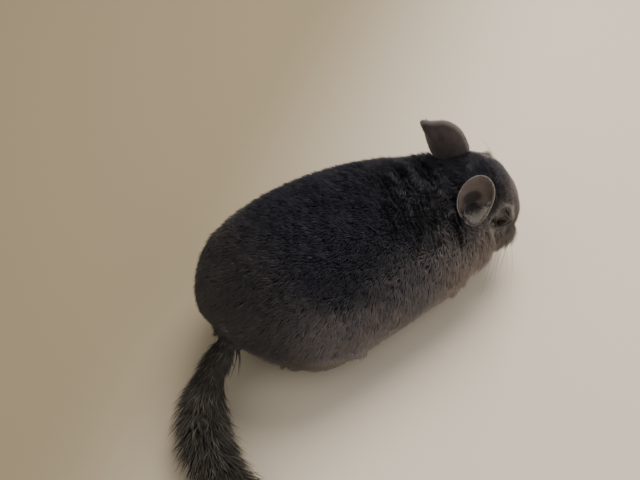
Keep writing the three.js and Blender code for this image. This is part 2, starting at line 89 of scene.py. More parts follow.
# The tail's middle line and the half width of its flesh, in millimetres
TAIL = [
    ((-60, -3, 42), 6),
    ((-76, -2, 36), 7),
    ((-90, -6, 30), 6.5),
    ((-107, -16, 20), 6.5),
    ((-121, -34, 15.5), 6.5),
    ((-130, -60, 15), 6.5),
    ((-131, -87, 14), 5.5),
    ((-124, -110, 12.5), 3.5),
    ((-120, -119, 12), 0.5),
]
TAIL_STARTS = 0.16  # the share of the line that is inside the rump
TAIL_STEPS = 120
TAIL_REACH = 11  # skin up to this far from the middle line can carry the tail's hair

# Creases across the nape: where each crosses the spine, how deep it is, and the middle and
# reach of the part of the round that it takes up, as angles from the spine towards the left
CREASES = [
    dict(at=31, deep=0.4, middle=-22, reach=20),
    dict(at=39, deep=0.9, middle=-8, reach=30),
    dict(at=46, deep=0.5, middle=-34, reach=22),
    dict(at=53, deep=1.0, middle=-7, reach=32),
    dict(at=60, deep=0.8, middle=-32, reach=26),
    dict(at=67, deep=1.0, middle=-14, reach=34),
    dict(at=74, deep=0.7, middle=8, reach=30),
    dict(at=77, deep=0.8, middle=-46, reach=22),
]
CREASE_HALF = 2.5
CREASE_DEPTH = 3.4
CREASE_SLOPE = 0.12  # millimetres forward for each degree round to the left

# The skin and the depth of the coat over it, in millimetres
FLESH_SWELL = 0.45
SKIN_VOXEL = 1.0
COAT_DEPTH = {"torso": 4.2, "neck": 4.2, "head": 2.4, "leg": 1.6, "foot": 0.4, "tail": 0.0}
MUZZLE_DEPTH = 0.7
RUFF_LENGTH = 5.5  # how much longer the hair of the cheeks and whisker pads is
TUFT_ROOT = 0.8  # how deep a tuft's root is sunk in the skin
TUFT_PATCH = 0.003  # the share of its map that one tuft takes up

# How far over the floor the lowest points stay, in millimetres
SKIN_CLEAR = 0.1
TUFT_CLEAR = 0.05
WHISKER_CLEAR = 1.5

random = np.random.default_rng(seed=1550)

# Making meshes


def linked(name, data):
    thing = bpy.data.objects.new(name, data)
    bpy.context.scene.collection.objects.link(thing)
    return thing


def dress(mesh, material):
    mesh.materials.clear()
    mesh.materials.append(material)
    mesh.polygons.foreach_set("use_smooth", [True] * len(mesh.polygons))


def new_piece(name, mesh, material):
    dress(mesh, material)
    piece = linked(name, mesh)
    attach(piece, "root")
    return piece


def piece_of_faces(name, points, faces, material):
    mesh = bpy.data.meshes.new(name)
    mesh.from_pydata(np.asarray(points, float).tolist(), [], faces)
    mesh.validate()
    mesh.update()
    return new_piece(name, mesh, material)


# Faces between rings of points, which are closed: from the first to the last, or all the way round
def ring_faces(rings, around, first=0, closed=False):
    faces = []
    for ring in range(rings if closed else rings - 1):
        a, b = first + ring * around, first + (ring + 1) % rings * around
        for n in range(around):
            m = (n + 1) % around
            faces.append((a + n, b + n, b + m, a + m))
    return faces


def point_value(mesh, name, values):
    layer = mesh.attributes.new(name, "FLOAT", "POINT")
    layer.data.foreach_set("value", np.ascontiguousarray(values, np.float32))


def points_of(mesh, kind="co"):
    values = np.empty(len(mesh.vertices) * 3)
    mesh.vertices.foreach_get(kind, values)
    return values.reshape(-1, 3)


def set_points(mesh, points):
    points[:, 2] = np.maximum(points[:, 2], SKIN_CLEAR * MM)
    mesh.vertices.foreach_set("co", points.ravel())
    mesh.update()


# From 0 at low to 1 at high, eased at both ends
def ramp(value, low, high):
    share = np.clip((value - low) / (high - low), 0, 1)
    return share * share * (3 - 2 * share)


# 1 where a value is 0, and fading away on both sides
def bell(value):
    return np.exp(-(value**2))


def unit(vectors):
    return vectors / np.maximum(np.linalg.norm(vectors, axis=-1, keepdims=True), 1e-9)


def distance(points, place):
    return np.linalg.norm(points - place, axis=-1)


def dot(a, b):
    return (a * b).sum(-1, keepdims=True)


# The part of a heading that runs along the skin
def on_skin(heading, normal):
    return heading - dot(heading, normal) * normal


def in_head(points):
    return (points - np.array(HEAD_PLACE)) @ HEAD_AXES.T / MM


def from_head(points):
    return np.asarray(points, float) * MM @ HEAD_AXES + np.array(HEAD_PLACE)


def mirrored(place, side):
    return (place[0], place[1] * side, place[2])


# The move from the origin to a place in the head's frame, or to its mirror
def head_matrix(place, side):
    return Matrix.Translation(IN_HEAD @ (Vector(mirrored(place, side)) * MM))


# A smooth, seeded ripple, mostly from -1 to 1, at about one wave in each length of wave metres
def ripple(points, wave, seed):
    own = np.random.default_rng(seed)
    total = np.zeros(len(points))
    for _ in range(7):
        heading = unit(own.normal(size=3)) * own.uniform(0.6, 1.5) * 2 * math.pi / wave
        total += np.sin(points @ heading + own.uniform(0, 2 * math.pi))
    return total / 4


# The tail's middle line as many points, with its headings, half widths and shares of the length
def tail_line():
    places = np.array([p for p, _ in TAIL], float) * MM
    widths = np.array([w for _, w in TAIL], float) * MM
    shares = np.linspace(0, 1, TAIL_STEPS)
    last = len(TAIL) - 1
    first = np.clip((shares * last).astype(int), 0, last - 1)
    t = (shares * last - first)[:, None]
    before, start, end, after = (places[np.clip(first + k, 0, last)] for k in (-1, 0, 1, 2))
    line = 0.5 * (
        2 * start
        + (end - before) * t
        + (2 * before - 5 * start + 4 * end - after) * t**2
        + (3 * start - before - 3 * end + after) * t**3
    )
    wide = widths[first] * (1 - t[:, 0]) + widths[np.clip(first + 1, 0, last)] * t[:, 0]
    return line, unit(np.gradient(line, axis=0)), wide, shares


TAIL_LINE, TAIL_HEADING, TAIL_WIDE, TAIL_SHARES = tail_line()


# A tube of rings round a line, closed at both ends
def tube(line, headings, radii, around=12):
    side = unit(np.cross([0, 0, 1.0], headings))
    top = np.cross(headings, side)
    rings = []
    for n in range(around):
        angle = 2 * math.pi * n / around
        rings.append(line + (side * math.cos(angle) + top * math.sin(angle)) * radii[:, None])
    faces = [(a, d, c, b) for a, b, c, d in ring_faces(len(line), around)]
    faces.append(tuple(range(around))[::-1])
    faces.append(tuple((len(line) - 1) * around + n for n in range(around)))
    return np.stack(rings, 1).reshape(-1, 3), faces


# Shader groups and materials


# An empty group, what adds nodes to it, its inputs and its outputs
def node_group(name, inputs, outputs):
    group = bpy.data.node_groups.new(name, "ShaderNodeTree")
    for way, sockets in (("INPUT", inputs), ("OUTPUT", outputs)):
        for socket, kind in sockets.items():
            group.interface.new_socket(socket, in_out=way, socket_type="NodeSocket" + kind)
    inlet, outlet = group.nodes.new("NodeGroupInput"), group.nodes.new("NodeGroupOutput")
    return group, Shading(group), inlet.outputs, outlet.inputs


class Shading:
    """Adds nodes to one tree and links them."""

    def __init__(self, tree, shader=None):
        self.tree = tree
        self.shader = shader

    def put(self, target, value):
        if isinstance(value, bpy.types.NodeSocket):
            self.tree.links.new(value, target)
        elif target.type == "RGBA":
            target.default_value = (*value, 1.0)
        else:
            target.default_value = value

    def node(self, kind, settings=None, **inputs):
        made = self.tree.nodes.new("ShaderNode" + kind)
        for key, value in (settings or {}).items():
            setattr(made, key, value)
        for key, value in inputs.items():
            self.put(made.inputs[key.replace("_", " ")], value)
        return made

    def math(self, operation, *numbers):
        made = self.node("Math", {"operation": operation})
        for socket, number in zip(made.inputs, numbers):
            self.put(socket, number)
        return made.outputs[0]

    def times(self, a, b):
        return self.math("MULTIPLY", a, b)

    def fade(self, value, low, high, start=0.0, end=1.0):
        sizes = {"From_Min": low, "From_Max": high, "To_Min": start, "To_Max": end}
        made = self.node("MapRange", {"interpolation_type": "SMOOTHSTEP"}, Value=value, **sizes)
        return made.outputs["Result"]

    def mix(self, share, a, b, blend="MIX"):
        made = self.node("Mix", {"data_type": "RGBA", "blend_type": blend}, Factor=share, A=a, B=b)
        return made.outputs["Result"]

    def noise(self, place, scale, detail=3.0):
        made = self.node("TexNoise", Vector=place, Scale=scale, Detail=detail, Roughness=0.55)
        return made.outputs["Fac"]

    def group(self, tree, **inputs):
        return self.node("Group", {"node_tree": tree}, **inputs).outputs[0]

    def value_of(self, name):
        return self.node("Attribute", {"attribute_name": name}).outputs["Fac"]

    def place(self):
        return self.node("TexCoord").outputs["Object"]

    def paint(self, colour):
        self.put(self.shader.inputs["Base Color"], colour)

    def bump(self, height, strength, distance):
        bump = self.node("Bump", Height=height, Strength=strength, Distance=distance)
        self.put(self.shader.inputs["Normal"], bump.outputs["Normal"])


BACK_SLATE = (0.026, 0.0255, 0.035)
# painted shade for the creased nape
NAPE_SHADE = (0.008, 0.0078, 0.0115)
RUMP_GREY = (0.052, 0.047, 0.044)
FLANK_BROWN = (0.2, 0.178, 0.174)
LOW_SILVER = (0.32, 0.285, 0.265)
BELLY_GREY = (0.24, 0.215, 0.20)
CHEST_BROWN = (0.37, 0.305, 0.26)
FACE_GREY = (0.26, 0.215, 0.185)
BROW_PALE = (0.56, 0.5, 0.44)
TAIL_DARK = (0.036, 0.0305, 0.0245)


# The coat's markings over the whole animal, by the place on the body, with painted shade over the creased
# nape
def coat_markings_group():
    group, s, _, out = node_group("coat markings", {}, {"Colour": "Color"})
    place = s.place()
    x, y, z = s.node("SeparateXYZ", Vector=place).outputs
    wander = s.times(s.math("SUBTRACT", s.noise(place, 22), 0.5), 0.045)
    height = s.math("ADD", z, wander)
    colour = s.mix(s.fade(height, 0.1, 0.062), BACK_SLATE, FLANK_BROWN)
    belly = s.times(s.fade(z, 0.016, 0.006), s.fade(s.math("ABSOLUTE", y), 0.05, 0.03))
    rump = s.times(s.fade(x, -0.035, -0.08), s.fade(z, 0.02, 0.05, 0.4, 0.85))
    chest = s.times(s.fade(x, 0.03, 0.075), s.fade(height, 0.088, 0.06))
    head = s.node("VectorMath", {"operation": "DISTANCE"})
    s.put(head.inputs[0], place)
    s.put(head.inputs[1], from_head([FACE_MIDDLE])[0])
    face = s.fade(head.outputs["Value"], 0.04, 0.024)
    # Painted shade over the nape, where the creases lie
    nape_shade = s.times(s.fade(x, 0.02, 0.055), s.fade(height, 0.082, 0.1, 0, 0.5))
    nape_shade = s.times(nape_shade, s.fade(x, 0.096, 0.074))
    tail = s.times(s.fade(x, -0.083, -0.096), s.fade(z, 0.052, 0.040))
    marks = [
        (s.fade(height, 0.06, 0.032, 0, 0.85), LOW_SILVER),
        (belly, BELLY_GREY),
        (rump, RUMP_GREY),
        (s.times(chest, 0.85), CHEST_BROWN),
        (s.times(face, 0.8), FACE_GREY),
        (nape_shade, NAPE_SHADE),
        (tail, TAIL_DARK),
    ]
    for share, mark in marks:
        colour = s.mix(share, colour, mark)
    tint = s.fade(s.noise(place, 60, 2), 0.35, 0.68, 0, 0.32)
    colour = s.mix(tint, colour, s.mix(1.0, colour, (1.45, 1.28, 1.15), "MULTIPLY"))
    s.put(out["Colour"], colour)
    return group


# Pale streaks, and painted shade in the creases, laid over a coat colour
def streaks_and_shade_group():
    inputs = {"Colour": "Color", "Pale": "Float", "Crease": "Float"}
    group, s, inlet, out = node_group("coat streaks and shade", inputs, {"Colour": "Color"})
    pale = s.mix(inlet["Pale"], inlet["Colour"], BROW_PALE)
    # Painted shade: the colour darkened to a tenth in the creases
    dark = s.mix(1.0, pale, (0.1, 0.095, 0.1), "MULTIPLY")
    s.put(out["Colour"], s.mix(inlet["Crease"], pale, dark))
    return group


# Fine hair grain: a mask that runs in short strands
def hair_grain_group():
    group, s, inlet, out = node_group("hair grain", {"Scale": "Float"}, {"Grain": "Float"})
    stretch = s.node("Mapping", Vector=s.place(), Scale=(0.35, 1.0, 1.0)).outputs["Vector"]
    grain = s.node("TexNoise", Vector=stretch, Detail=2.0, Scale=inlet["Scale"])
    s.put(out["Grain"], grain.outputs["Fac"])
    return group


MARKINGS = coat_markings_group()
STREAKS_AND_SHADE = streaks_and_shade_group()
GRAIN = hair_grain_group()


# A material with some inputs of its shader set, and what adds nodes to it
def new_material(name, **inputs):
    material = bpy.data.materials.new(name)
    material.use_nodes = True
    shader = material.node_tree.nodes["Principled BSDF"]
    s = Shading(material.node_tree, shader)
    for key, value in inputs.items():
        s.put(shader.inputs[key.replace("_", " ")], value)
    return material, s


def marked_colour(s):
    # The crease attribute carries painted shade: in the nape's creases, in pits on the back and round the
    # eyes
    marks = {"Pale": s.value_of("pale"), "Crease": s.value_of("crease")}
    return s.group(STREAKS_AND_SHADE, Colour=s.group(MARKINGS), **marks)


# Tufts: dark at the root, the marking's colour with its painted shade along them, and paler at some tips
def coat_material(name, root_shade, tip_colour, tip_share):
    material, s = new_material(name, Roughness=0.75, Sheen_Weight=0.03, Specular_IOR_Level=0.14)
    colour = marked_colour(s)
    tip = s.value_of("tip")
    shade = s.value_of("shade")
    root = s.mix(1.0, colour, (root_shade,) * 3, "MULTIPLY")
    colour = s.mix(s.fade(tip, 0.1, 0.75), root, colour)
    lighter = s.times(s.fade(shade, 0.55, 1.0), s.fade(tip, 0.45, 1.0, 0.0, tip_share))
    colour = s.mix(lighter, colour, tip_colour)
    vary = s.mix(shade, (0.8, 0.8, 0.81), (1.18, 1.17, 1.16))
    s.paint(s.mix(1.0, colour, vary, "MULTIPLY"))
    return material


def skin_material():
    material, s = new_material("skin", Roughness=0.8, Sheen_Weight=0.05, Specular_IOR_Level=0.2)
    colour = marked_colour(s)
    grain = s.group(GRAIN, Scale=1500.0)
    strands = s.fade(grain, 0.3, 0.7)
    flesh = s.mix(strands, (0.085, 0.06, 0.054), (0.16, 0.115, 0.103))
    furred = s.mix(strands, s.mix(1.0, colour, (0.42, 0.42, 0.43), "MULTIPLY"), colour)
    s.paint(s.mix(s.value_of("bare"), furred, flesh))
    s.bump(grain, 0.7, 0.0006)
    return material


# Thin ear skin: grey brown with a few veins and a fine nap, a painted highlight along the rim and painted
# shade deep in the hollow
def ear_material():
    thin = {"Subsurface_Weight": 0.04, "Subsurface_Radius": (0.004, 0.0015, 0.001), "Subsurface_Scale": 0.6}
    material, s = new_material("ear skin", Roughness=0.62, Sheen_Weight=0.12, Specular_IOR_Level=0.3, **thin)
    place = s.place()
    blotch = s.fade(s.noise(place, 120, 4), 0.32, 0.7)
    inner = s.mix(blotch, (0.072, 0.054, 0.048), (0.12, 0.093, 0.083))
    outer = s.mix(blotch, (0.04, 0.031, 0.03), (0.066, 0.051, 0.047))
    colour = s.mix(s.value_of("inside"), outer, inner)
    veins = s.node("TexVoronoi", {"feature": "DISTANCE_TO_EDGE"}, Vector=place, Scale=95.0)
    vein = s.fade(veins.outputs["Distance"], 0.06, 0.0, 0, 0.35)
    colour = s.mix(vein, colour, (0.10, 0.05, 0.045))
    # Painted shade deep in the ear's hollow
    colour = s.mix(s.fade(s.value_of("deep"), 0.3, 0.95, 0, 0.94), colour, (0.009, 0.0065, 0.0065))
    # Painted highlight along the rim
    colour = s.mix(s.fade(s.value_of("rim"), 0.86, 0.99, 0, 0.8), colour, (0.3, 0.27, 0.24))
    s.paint(colour)
    s.bump(s.group(GRAIN, Scale=2200.0), 0.5, 0.0003)
    return material


def eye_material():
    material, s = new_material("wet eye", Roughness=0.12, Specular_IOR_Level=0.1)
    glow = s.fade(s.noise(s.place(), 260, 2), 0.35, 0.75)
    s.paint(s.mix(glow, (0.003, 0.002, 0.002), (0.009, 0.006, 0.005)))
    return material


def plain_skin(name, dark, pale, roughness, grain_scale, depth):
    material, s = new_material(name, Roughness=roughness, Specular_IOR_Level=0.4)
    grain = s.group(GRAIN, Scale=grain_scale)
    s.paint(s.mix(s.fade(grain, 0.3, 0.7), dark, pale))
    s.bump(grain, 0.6, depth)
    return material


def whisker_material():
    material, s = new_material("whisker", Roughness=0.4)
    colour = s.mix(s.fade(s.value_of("tip"), 0.0, 0.7), (0.02, 0.018, 0.017), (0.16, 0.14, 0.125))
    s.paint(colour)
    return material


SKIN = skin_material()
BODY_COAT = coat_material("body coat", 0.5, (0.17, 0.155, 0.15), 0.3)
HEAD_COAT = coat_material("head coat", 0.55, (0.24, 0.21, 0.185), 0.4)
TAIL_COAT = coat_material("tail coat", 0.5, (0.24, 0.21, 0.165), 0.8)
EAR_SKIN = ear_material()
EYE_DARK = eye_material()
LID_SKIN = plain_skin("lid skin", (0.012, 0.01, 0.01), (0.03, 0.023, 0.022), 0.5, 2600.0, 0.0002)
NOSE_SKIN = plain_skin("nose skin", (0.085, 0.052, 0.048), (0.17, 0.11, 0.1), 0.42, 3200.0, 0.0003)
CLAW_HORN = plain_skin("claw horn", (0.07, 0.055, 0.048), (0.16, 0.13, 0.115), 0.35, 1800.0, 0.0001)
WHISKER = whisker_material()

# Skin


def region_of(name):
    if name.startswith(("hindleg", "foreleg")):
        return "leg"
    return name if name in ("torso", "neck", "head") else None


# The flesh solids, swollen a little so that they meet, with the tail's flesh, as one closed form
def joined_flesh():
    joined = bmesh.new()
    for name, node in nodes.items():
        if region_of(name) is None:
            continue
        part = bmesh.new()
        part.from_mesh(node.data)
        bmesh.ops.remove_doubles(part, verts=part.verts, dist=1e-6)
        part.normal_update()
        for vertex in part.verts:
            vertex.co += vertex.normal * FLESH_SWELL * MM
        swollen = bpy.data.meshes.new("swollen")
        part.to_mesh(swollen)
        joined.from_mesh(swollen)
        part.free()
        bpy.data.meshes.remove(swollen)
    tail = bpy.data.meshes.new("tail flesh")
    points, faces = tube(TAIL_LINE, TAIL_HEADING, TAIL_WIDE)
    tail.from_pydata(points.tolist(), [], faces)
    joined.from_mesh(tail)
    bpy.data.meshes.remove(tail)
    for side in SIDES.values():
        radius = (EYE_RADIUS + EYE_FLESH) * MM
        bmesh.ops.create_icosphere(joined, subdivisions=3, radius=radius, matrix=head_matrix(EYE_AT, side))
    mesh = bpy.data.meshes.new("skin")
    joined.to_mesh(mesh)
    joined.free()
    return mesh


def remeshed(mesh):
    rough = linked("rough", mesh)
    modifier = rough.modifiers.new("even", "REMESH")
    modifier.mode = "VOXEL"
    modifier.voxel_size = SKIN_VOXEL * MM
    depsgraph = bpy.context.evaluated_depsgraph_get()
    even = bpy.data.meshes.new_from_object(rough.evaluated_get(depsgraph))
    bpy.data.objects.remove(rough)
    bpy.data.meshes.remove(mesh)
    return even


# Averages values over neighbouring points, by each point's own share, many times
def relaxed(mesh, values, share, times):
    edges = np.empty(len(mesh.edges) * 2, int)
    mesh.edges.foreach_get("vertices", edges)
    first, second = edges.reshape(-1, 2).T
    count = len(mesh.vertices)
    near = np.maximum(np.bincount(first, minlength=count) + np.bincount(second, minlength=count), 1)
    values = values.reshape(count, -1).copy()
    for _ in range(times):
        for column in range(values.shape[1]):
            value = values[:, column]
            total = np.bincount(first, value[second], count) + np.bincount(second, value[first], count)
            values[:, column] = value + share * (total / near - value)
    return values


# Which flesh solid each point is nearest to
def nearest_regions(points):
    labels, places = [], []
    for name, node in nodes.items():
        region = region_of(name)
        if region:
            own = points_of(node.data)
            places.append(own)
            labels += [region] * len(own)
    middle = TAIL_SHARES > TAIL_STARTS + 0.02
    places.append(TAIL_LINE[middle])
    labels += ["tail"] * int(middle.sum())
    tree = KDTree(len(labels))
    for index, place in enumerate(np.concatenate(places)):
        tree.insert(place, index)
    tree.balance()
    names = np.array(labels)
    nearest = names[[tree.find(p)[1] for p in points]]
    on_tail = distance(points[:, None], TAIL_LINE[middle][::6]).min(1) < TAIL_REACH * MM
    return np.where(on_tail & (points[:, 0] < -0.084), "tail", nearest)


# How strongly a point lies in one of the creases across the nape, and which way it leans from it
def crease_at(points):
    angle = np.degrees(np.arctan2(points[:, 1], points[:, 2] - 0.05))
    wobble = 1.6 * ripple(points, 0.03, 5) + 0.6 * ripple(points, 0.011, 6)
    strongest = np.zeros(len(points))
    lean = np.zeros(len(points))  # over 0 in front of a crease, under 0 behind it
    for crease in CREASES:
        off = points[:, 0] / MM - crease["at"] - CREASE_SLOPE * angle + wobble
        fade = ramp(np.abs(angle - crease["middle"]), crease["reach"], crease["reach"] * 0.55)
        strength = crease["deep"] * fade * bell(off / CREASE_HALF)
        spread = np.where(off > 0, 3.6, 1.6) * CREASE_HALF
        near = fade * crease["deep"] * bell(off / spread)
        lean = np.where(near > np.abs(lean), near * np.sign(off), lean)
        strongest = np.maximum(strongest, strength)
    return strongest, lean


# How far points lie from an eye's middle, in the head's frame and along and across its lids
def lid_offset(points, side):
    offset = in_head(points) - mirrored(EYE_AT, side)
    slant = math.radians(LID_SLANT)
    along = offset[:, 0] * math.cos(slant) - offset[:, 2] * math.sin(slant)
    across = offset[:, 0] * math.sin(slant) + offset[:, 2] * math.cos(slant)
    return offset, along, across


# Painted shade round each eye: a long patch along the lids that reaches past both corners
def painted_eye_shade(points):
    dark = np.zeros(len(points))
    for side in SIDES.values():
        offset, along, across = lid_offset(points, side)
        near = np.hypot(along / 12.5, across / 4.6)
        dark = np.maximum(dark, ramp(near, 1.1, 0.75) * (offset[:, 1] * side > -4))
    return dark


# Directions from an eye's middle, as shares of the lids' opening: inside it where the sum is under 1
def lid_opening(points, side):
    offset, along, across = lid_offset(points, side)
    out = np.maximum(offset[:, 1] * side, 0.1)
    wide, tall = (math.tan(math.radians(a)) for a in LID_HALF_ANGLES)
    opening = (along / out / wide) ** 2 + (across / out / tall) ** 2
    away = np.linalg.norm(offset, axis=1)
    return np.where(away < EYE_RADIUS + 5, opening, 99), away, offset


# Where the skin is bare: on the nose, and a little on the soles
def bareness(points):
    nose = ramp(distance(in_head(points), NOSE_AT), 5.5, 3.5)
    sole = ramp(points[:, 2], 1.2 * MM, 0.5 * MM) * 0.9
    return np.maximum(nose, sole)


# Pale hair round the eyes and along the cheeks
def paleness(points):
    local = in_head(points)
    pale = np.zeros(len(points))
    for side in SIDES.values():
        _, away, offset = lid_opening(points, side)
        ring = bell((away - EYE_RADIUS - 4.2) / 2.6) * (offset[:, 1] * side > -6)
        upper = ramp(np.abs(offset[:, 2]), 0.5, 4.0)
        pale = np.maximum(pale, (1.0 if side < 0 else 0.35) * ring * upper)
        cheek = (local - mirrored((24, 16, -7), side)) / (9, 6, 4)
        pale = np.maximum(pale, 0.5 * bell(np.linalg.norm(cheek, axis=1)))
    return pale


def make_skin():
    mesh = remeshed(joined_flesh())
    points = points_of(mesh)
    regions = nearest_regions(points)
    eased = {"torso": 0.5, "neck": 0.35, "tail": 0.3}
    share = np.select([regions == key for key in eased], list(eased.values()), 0.06)
    points = relaxed(mesh, points, relaxed(mesh, share, 0.5, 10)[:, 0], 60)
    set_points(mesh, points)
    depth = np.select([regions == key for key in COAT_DEPTH], list(COAT_DEPTH.values()))
    foot = ramp(points[:, 2] / MM, 15, 9) * (regions == "leg")
    depth = depth * (1 - foot) + COAT_DEPTH["foot"] * foot
    muzzle = ramp(in_head(points)[:, 0], 20, 34) * (regions == "head")
    depth = depth * (1 - muzzle) + MUZZLE_DEPTH * muzzle
    depth = relaxed(mesh, depth, 0.5, 25)[:, 0]
    crease, _ = crease_at(points)
    low = ramp(points[:, 2] / MM, 1.0, 6.0)
    inset = (depth + CREASE_DEPTH * crease) * (0.15 + 0.85 * low)
    points -= points_of(mesh, "normal") * inset[:, None] * MM
    for side in SIDES.values():
        socket = ramp(lid_opening(points, side)[0], 1.35, 0.95)
        middle = from_head([mirrored(EYE_AT, side)])
        inward = middle + unit(points - middle) * (EYE_RADIUS - EYE_BED) * MM
        points += (inward - points) * socket[:, None]
    set_points(mesh, points)
    skin = new_piece("skin", mesh, SKIN)
    point_value(mesh, "bare", bareness(points))
    point_value(mesh, "pale", paleness(points))
    # Painted shade in the nape's creases and round the eyes, kept as the crease attribute
    point_value(mesh, "crease", np.maximum(ramp(crease, 0.06, 0.4), painted_eye_shade(points)))
    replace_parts(skin, *[name for name in nodes if region_of(name) or name.startswith("tail")])
    return skin, regions


# Coat


# Places on the skin's faces, more where density asks, with their normals and regions
def coat_roots(mesh, regions, count, density):
    mesh.calc_loop_triangles()
    triangles = np.empty(len(mesh.loop_triangles) * 3, int)
    mesh.loop_triangles.foreach_get("vertices", triangles)
    triangles = triangles.reshape(-1, 3)
    points, normals = points_of(mesh), points_of(mesh, "normal")
    a, b, c = (points[triangles[:, n]] for n in range(3))
    area = np.linalg.norm(np.cross(b - a, c - a), axis=1)
    weight = np.cumsum(area * density[triangles].mean(1))
    chosen = triangles[np.searchsorted(weight, random.uniform(0, weight[-1], count))]
    a, b = random.uniform(size=(2, count))
    over = a + b > 1
    a, b = np.where(over, 1 - a, a), np.where(over, 1 - b, b)
    shares = np.stack([1 - a - b, a, b], 1)[:, :, None]
    place = (points[chosen] * shares).sum(1)
    return place, unit((normals[chosen] * shares).sum(1)), regions[chosen[:, 0]]


# The way the hair lies: back from the nose, along the body, down the legs and along the tail
def lie_of(points, normals, regions):
    body = np.tile([-1.0, 0.0, -0.12], (len(points), 1))
    body[:, 2] -= 0.35 * ramp(np.abs(points[:, 1]) / MM, 25, 60)
    local = in_head(points)
    head = np.stack([-np.ones(len(points)), local[:, 1] * 0.012, -0.25 + local[:, 2] * 0.012], 1)
    low = ramp(points[:, 2] / MM, 14, 8)[:, None]
    leg = (-0.25, 0.0, -1.0) * (1 - low) + (1.0, 0.05, -0.1) * low
    lies = {"head": head @ HEAD_AXES, "leg": leg, "tail": tail_heading(points)}
    lie = np.select([(regions == key)[:, None] for key in lies], list(lies.values()), body)
    return unit(on_skin(lie, normals))


# Hair turned over the skin by an angle
def swirled(lie, normal, angle):
    side = np.cross(normal, lie)
    return unit(lie * np.cos(angle)[:, None] + side * np.sin(angle)[:, None])


def nearest_on_tail(points):
    return np.argmin(distance(points[:, None], TAIL_LINE[::2]), axis=1) * 2


def tail_heading(points):
    heading = np.zeros((len(points), 3))
    near = points[:, 0] < -0.07
    heading[near] = TAIL_HEADING[nearest_on_tail(points[near])]
    return heading


# Closed tufts of three sides: a root, its bends and a tip. Each lies over from its lift to its end angle.
def tufts(name, roots, normals, lie, length, width, lift, end, places, shade, material, slot, bends):
    count = len(roots)
    side = np.cross(normals, lie)
    shares = (0.0, *bends)
    rings = []
    for share in (*shares, 1.0):
        angle = lift + (end - lift) * share * 0.5
        middle = roots + lie * (length * share * np.cos(angle))[:, None]
        middle = middle + normals * (length * share * np.sin(angle) - TUFT_ROOT * MM * (1 - share))[:, None]
        half = (width * 0.5 * (1 - share) ** 0.6)[:, None]
        top = normals * np.cos(angle)[:, None] - lie * np.sin(angle)[:, None]
        corners = (side * half, -side * half, top * half * 0.7)
        rings.append(np.stack([middle + corner for corner in corners[: 3 if share < 1 else 1]], 1))
    points = np.concatenate(rings, 1)
    own = points.shape[1]
    faces = [(0, 1, 2)]
    for ring in range(len(bends)):
        for n in range(3):
            a, b = 3 * ring + n, 3 * ring + (n + 1) % 3
            faces += [(b, a, a + 3), (b, a + 3, b + 3)]
    last = 3 * len(bends)
    faces += [(last + (n + 1) % 3, last + n, own - 1) for n in range(3)]
    faces = np.array(faces)
    triangles = (faces[None] + np.arange(count)[:, None, None] * own).reshape(-1, 3)
    points = points.reshape(-1, 3)
    points[:, 2] = np.maximum(points[:, 2], TUFT_CLEAR * MM)
    mesh = bpy.data.meshes.new(name)
    mesh.vertices.add(len(points))
    mesh.vertices.foreach_set("co", points.ravel())
    mesh.loops.add(triangles.size)
    mesh.loops.foreach_set("vertex_index", triangles.ravel())
    mesh.polygons.add(len(triangles))
    mesh.polygons.foreach_set("loop_start", np.arange(0, triangles.size, 3))
    mesh.update(calc_edges=True)
    along = np.repeat([*shares, 1.0], [3] * len(shares) + [1])
    across = np.array([0, 1, 2] * len(shares) + [1]) / 2
    point_value(mesh, "tip", np.tile(along, count))
    for key, values in shade.items():
        point_value(mesh, key, np.repeat(values, own))
    patch = np.stack([along, across], 1)[None] * TUFT_PATCH + places[:, None]
    layer = mesh.uv_layers.new(name="OFBake")
    layer.data.foreach_set("uv", patch.reshape(-1, 2)[triangles.ravel()].ravel())
    new_piece(name, mesh, material)


# Two shares of the way, along and round, as a place in the map that is kept clear of its edges
def in_map(along, around):
    return np.stack([along, around], 1) * 0.98 + 0.008


# A place on the skin unrolled round a straight axis
def unrolled(points, middle, axis, up):
    axis, up = np.array(axis, float), np.array(up, float)
    offset = points - np.array(middle)
    along = offset @ axis
    reach = np.maximum(along.max() - along.min(), 1e-6)
    turn = np.arctan2(offset @ np.cross(up, axis), offset @ up)
    return in_map((along - along.min()) / reach, turn / (2 * math.pi) + 0.5)


# Tuft sizes by region, in millimetres and degrees
TUFT = {
    "torso": dict(length=7.6, width=0.95, lift=60, end=24),
    "neck": dict(length=7.6, width=0.95, lift=60, end=26),
    "head": dict(length=5.4, width=0.7, lift=48, end=20),
    "leg": dict(length=4.6, width=0.75, lift=28, end=8),
    "tail": dict(length=22.0, width=0.8, lift=42, end=18),
}


def tuft_sizes(key, regions):
    return np.select([regions == name for name in TUFT], [TUFT[name][key] for name in TUFT])


# The parts of the coat: how many tufts grow on each, where they bend if they do, and how far along +X
# each of its pieces reaches, in millimetres
COAT_PARTS = {
    "trunk": dict(
        regions=("torso", "neck"), count=104000, bends=(0.5,), slot="coat_body", material=BODY_COAT,
        pieces={"rump": -38, "loin": 2, "chest": 48, "neck": math.inf},
    ),
    "head": dict(
        regions=("head",), count=42000, bends=(), slot="coat_head", material=HEAD_COAT,
        pieces={"head": math.inf},
    ),
    "leg": dict(
        regions=("leg",), count=18000, bends=(), slot="coat_legs", material=BODY_COAT,
        pieces={"hindleg": 20, "foreleg": math.inf},
    ),
}
TAIL_TUFTS = 11500


